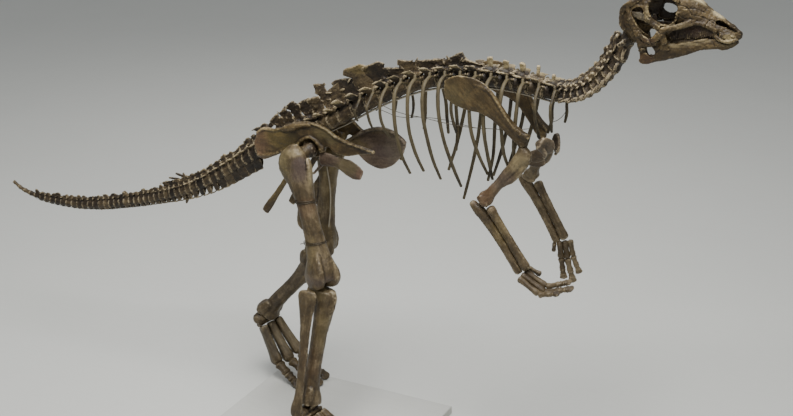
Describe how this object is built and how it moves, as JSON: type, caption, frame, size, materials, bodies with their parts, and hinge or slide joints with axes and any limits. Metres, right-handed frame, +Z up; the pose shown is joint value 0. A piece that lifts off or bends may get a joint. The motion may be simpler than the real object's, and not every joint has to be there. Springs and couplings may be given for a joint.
{
  "type": "mounted dinosaur skeleton",
  "caption": "Mounted skeleton of a young duck-billed dinosaur, walking on its hind legs with the tail held out, on a plain flat base.",
  "frame": {"origin": "centre of the bounding box on the underside of the base", "axes": "+X towards the head, +Z up, +Y towards the left side of the animal"},
  "size_m": [2.89, 0.5686, 1.7487],
  "materials": {
    "bone_skull": "matt fossil bone, brown with pale tan highlights",
    "bone_dark": "matt fossil bone, very dark brown with pale edges",
    "bone_brown": "low satin fossil bone, khaki-olive, mottled",
    "bone_purple": "low satin fossil bone, purplish brown",
    "bone_tan": "low satin fossil bone, tan-grey, mottled",
    "steel": "plain steel bar",
    "painted_base": "painted board, pale grey, matt"
  },
  "bodies": {
    "root": {"skull": "bone_skull", "lower_jaw": "bone_skull", "tail_tip": "bone_dark", "tail_middle": "bone_dark", "tail_base": "bone_dark", "sacrum": "bone_dark", "rib_cage_right": "bone_dark", "rib_cage_left": "bone_dark", "neck_base": "bone_dark", "neck_top": "bone_dark", "right_ilium": "bone_brown", "right_ischium": "bone_brown", "right_scapula": "bone_brown", "right_coracoid": "bone_purple", "right_pubis": "bone_purple", "right_femur": "bone_tan", "right_tibia": "bone_tan", "right_fibula": "bone_tan", "right_ankle": "bone_tan", "right_metatarsal_inner": "bone_tan", "right_toe_inner": "bone_tan", "right_metatarsal_middle": "bone_tan", "right_toe_middle": "bone_tan", "right_metatarsal_outer": "bone_tan", "right_toe_outer": "bone_tan", "right_humerus": "bone_tan", "right_radius": "bone_tan", "right_ulna": "bone_tan", "right_finger_splint": "bone_tan", "right_finger_second": "bone_tan", "right_finger_third": "bone_tan", "right_finger_fourth": "bone_tan", "right_sternal_plate": "bone_purple", "left_ilium": "bone_brown", "left_ischium": "bone_brown", "left_scapula": "bone_brown", "left_coracoid": "bone_purple", "left_pubis": "bone_purple", "left_femur": "bone_tan", "left_tibia": "bone_tan", "left_fibula": "bone_tan", "left_ankle": "bone_tan", "left_metatarsal_inner": "bone_tan", "left_toe_inner": "bone_tan", "left_metatarsal_middle": "bone_tan", "left_toe_middle": "bone_tan", "left_metatarsal_outer": "bone_tan", "left_toe_outer": "bone_tan", "left_humerus": "bone_tan", "left_radius": "bone_tan", "left_ulna": "bone_tan", "left_finger_splint": "bone_tan", "left_finger_second": "bone_tan", "left_finger_third": "bone_tan", "left_finger_fourth": "bone_tan", "left_sternal_plate": "bone_purple", "mount_spine_bar": "steel", "stand_base": "painted_base"}
  },
  "joints": []
}
